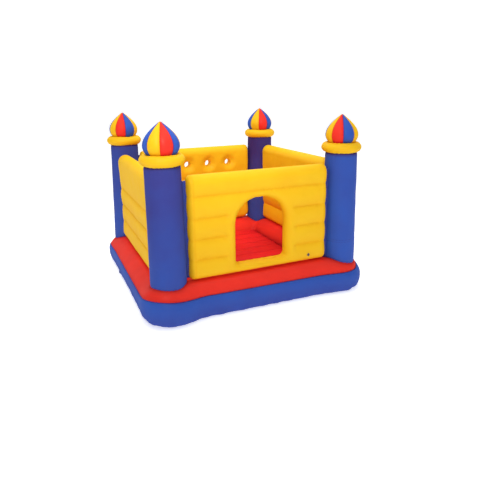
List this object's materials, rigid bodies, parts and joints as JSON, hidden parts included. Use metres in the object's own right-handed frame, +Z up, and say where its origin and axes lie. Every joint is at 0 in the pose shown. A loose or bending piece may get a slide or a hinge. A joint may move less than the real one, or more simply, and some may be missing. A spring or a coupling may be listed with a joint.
{
  "type": "inflatable bounce house",
  "caption": "Castle-style inflatable bounce house: ribbed yellow walls with a crawl-through door and portholes, blue corner towers with striped onion domes, red jump floor.",
  "frame": {"origin": "on the ground under the middle of the base", "axes": "+Z up, -Y out of the door, +X to the right of someone facing the door"},
  "size_m": [1.7702, 1.75, 1.35],
  "materials": {
    "blue_vinyl": "glossy sheet vinyl, air filled",
    "red_vinyl": "glossy sheet vinyl, air filled",
    "yellow_vinyl": "glossy sheet vinyl, air filled",
    "valve_plastic": "soft moulded plastic"
  },
  "bodies": {
    "inflatable": {"back_left_collar_skin": "yellow_vinyl", "back_left_gore_1_blue": "blue_vinyl", "back_left_gore_2_yellow": "yellow_vinyl", "back_left_gore_3_red": "red_vinyl", "back_left_gore_4_blue": "blue_vinyl", "back_left_gore_5_yellow": "yellow_vinyl", "back_left_gore_6_red": "red_vinyl", "back_left_gore_7_blue": "blue_vinyl", "back_left_gore_8_yellow": "yellow_vinyl", "back_left_tower_skin": "blue_vinyl", "back_right_collar_skin": "yellow_vinyl", "back_right_gore_1_blue": "blue_vinyl", "back_right_gore_2_yellow": "yellow_vinyl", "back_right_gore_3_red": "red_vinyl", "back_right_gore_4_blue": "blue_vinyl", "back_right_gore_5_yellow": "yellow_vinyl", "back_right_gore_6_red": "red_vinyl", "back_right_gore_7_blue": "blue_vinyl", "back_right_gore_8_yellow": "yellow_vinyl", "back_right_tower_skin": "blue_vinyl", "back_wall_skin": "yellow_vinyl", "base_ring_back_skin": "red_vinyl", "base_ring_front_skin": "red_vinyl", "base_ring_left_skin": "red_vinyl", "base_ring_right_skin": "red_vinyl", "base_tray_skin": "blue_vinyl", "base_valve_seat": "valve_plastic", "floor_webs": "blue_vinyl", "front_left_collar_skin": "yellow_vinyl", "front_left_gore_1_blue": "blue_vinyl", "front_left_gore_2_yellow": "yellow_vinyl", "front_left_gore_3_red": "red_vinyl", "front_left_gore_4_blue": "blue_vinyl", "front_left_gore_5_yellow": "yellow_vinyl", "front_left_gore_6_red": "red_vinyl", "front_left_gore_7_blue": "blue_vinyl", "front_left_gore_8_yellow": "yellow_vinyl", "front_left_tower_skin": "blue_vinyl", "front_right_collar_skin": "yellow_vinyl", "front_right_gore_1_blue": "blue_vinyl", "front_right_gore_2_yellow": "yellow_vinyl", "front_right_gore_3_red": "red_vinyl", "front_right_gore_4_blue": "blue_vinyl", "front_right_gore_5_yellow": "yellow_vinyl", "front_right_gore_6_red": "red_vinyl", "front_right_gore_7_blue": "blue_vinyl", "front_right_gore_8_yellow": "yellow_vinyl", "front_right_tower_skin": "blue_vinyl", "front_wall_skin": "yellow_vinyl", "left_wall_skin": "yellow_vinyl", "right_wall_skin": "yellow_vinyl", "wall_valve_seat": "valve_plastic"},
    "jump_floor": {"jump_floor_skin": "red_vinyl"},
    "base_valve_stopper": {"base_valve_stopper": "valve_plastic"},
    "base_valve_cap": {"base_valve_cap": "valve_plastic"},
    "base_valve_flap": {"base_valve_flap": "valve_plastic"},
    "wall_valve_stopper": {"wall_valve_stopper": "valve_plastic"},
    "wall_valve_cap": {"wall_valve_cap": "valve_plastic"},
    "wall_valve_flap": {"wall_valve_flap": "valve_plastic"}
  },
  "joints": [
    {"name": "floor_bounce", "type": "slide", "parent": "inflatable", "child": "jump_floor", "axis": [0, 0, 1], "range_m": [-0.05, 0], "stiffness_N_per_m": 5000, "springref_m": 0.006, "deforming": ["floor_webs"]},
    {"name": "base_valve_stopper_turn", "type": "hinge", "parent": "inflatable", "child": "base_valve_stopper", "pos_m": [-0.87899, 0.19, 0.058], "axis": [-1, 0, 0], "range_deg": [0, 180]},
    {"name": "base_valve_cap_hinge", "type": "hinge", "parent": "base_valve_stopper", "child": "base_valve_cap", "pos_m": [-0.88239, 0.19, 0.0705], "axis": [0, 1, 0], "range_deg": [0, 120]},
    {"name": "base_valve_flap_hinge", "type": "hinge", "parent": "base_valve_stopper", "child": "base_valve_flap", "pos_m": [-0.86709, 0.19, 0.0648], "axis": [0, -1, 0], "range_deg": [0, 50], "stiffness_Nm_per_rad": 0.0004, "springref_deg": -5.73},
    {"name": "wall_valve_stopper_turn", "type": "hinge", "parent": "inflatable", "child": "wall_valve_stopper", "pos_m": [0.371, -0.7575, 0.322], "axis": [0, -1, 0], "range_deg": [0, 180]},
    {"name": "wall_valve_cap_hinge", "type": "hinge", "parent": "wall_valve_stopper", "child": "wall_valve_cap", "pos_m": [0.371, -0.7609, 0.3345], "axis": [-1, 0, 0], "range_deg": [0, 120]},
    {"name": "wall_valve_flap_hinge", "type": "hinge", "parent": "wall_valve_stopper", "child": "wall_valve_flap", "pos_m": [0.371, -0.7456, 0.3288], "axis": [1, 0, 0], "range_deg": [0, 50], "stiffness_Nm_per_rad": 0.0004, "springref_deg": -5.73}
  ]
}
